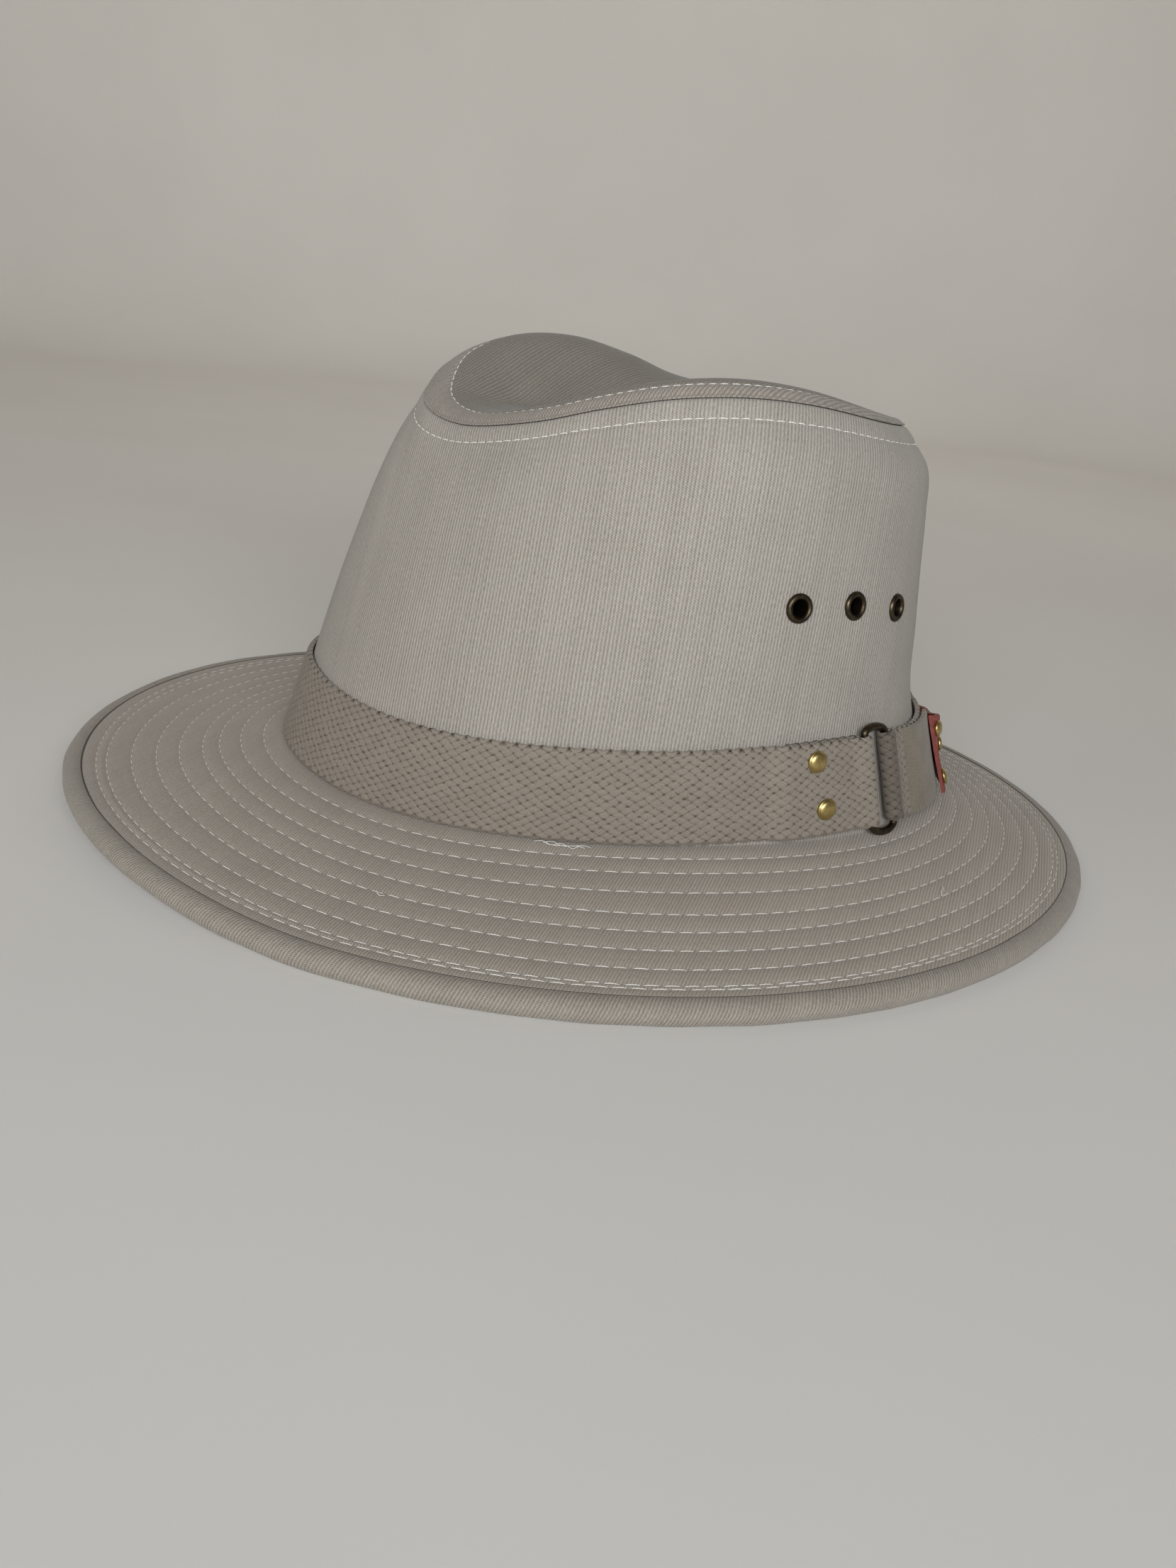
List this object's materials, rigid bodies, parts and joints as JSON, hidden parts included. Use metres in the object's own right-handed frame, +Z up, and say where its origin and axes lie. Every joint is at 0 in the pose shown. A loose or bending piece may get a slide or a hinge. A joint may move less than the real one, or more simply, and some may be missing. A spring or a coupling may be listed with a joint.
{
  "type": "wide-brim fedora",
  "caption": "Sewn cotton-twill fedora with a pinched crown, stitched wide brim with padded edge, webbing band with an oval ring, rivets, leather patch and vent eyelets.",
  "frame": {"origin": "centre of the bounding box on the surface that the padded brim edge rests on", "axes": "+Z up, the front of the hat faces -Y, and the wearer's left is +X"},
  "size_m": [0.316, 0.3507, 0.153],
  "materials": {
    "twill": "matte taupe cotton twill",
    "binding": "matte bias-cut twill, a little lighter",
    "webbing": "matte coarse cotton webbing",
    "leather": "smooth red-brown, bare",
    "brass": "polished",
    "antique_brass": "dark, worn bright on the edges"
  },
  "bodies": {
    "root": {"crown_wall": "twill", "crown_tip": "twill", "brim": "twill", "brim_binding": "binding", "hat_band": "webbing", "band_ring": "antique_brass", "leather_patch": "leather", "band_rivet_upper": "brass", "band_rivet_lower": "brass", "patch_rivet_left_top": "brass", "patch_rivet_left_middle": "brass", "patch_rivet_left_bottom": "brass", "patch_rivet_right_top": "brass", "patch_rivet_right_middle": "brass", "patch_rivet_right_bottom": "brass", "eyelet_left_1": "antique_brass", "eyelet_left_2": "antique_brass", "eyelet_left_3": "antique_brass", "eyelet_right_1": "antique_brass", "eyelet_right_2": "antique_brass", "eyelet_right_3": "antique_brass"}
  },
  "joints": []
}
